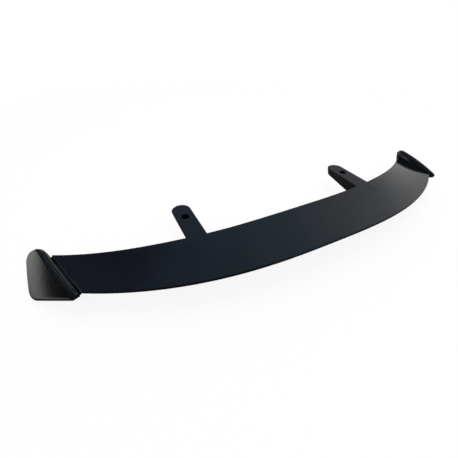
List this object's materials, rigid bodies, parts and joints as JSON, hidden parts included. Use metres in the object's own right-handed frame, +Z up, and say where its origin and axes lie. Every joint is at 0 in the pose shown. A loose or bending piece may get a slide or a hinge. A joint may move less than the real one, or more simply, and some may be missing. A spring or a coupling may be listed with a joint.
{
  "type": "car spoiler",
  "caption": "Swept black rear spoiler blade with forward mounting arms, recessed bolt holes and canted end plates, bolted to the top of a hatchback's tailgate.",
  "frame": {"origin": "midway between the two bolt holes, level with the screws' seats at the bottom of the recesses", "axes": "+X to the car's right across the blade, +Y forwards along the arms, +Z up along the bolt holes"},
  "size_m": [1.1658, 0.2825, 0.077],
  "materials": {
    "blade_paint": "gloss black paint",
    "end_plate_paint": "satin gloss black paint"
  },
  "bodies": {
    "root": {"wing_blade": "blade_paint", "left_end_plate": "end_plate_paint", "right_end_plate": "end_plate_paint"}
  },
  "joints": []
}
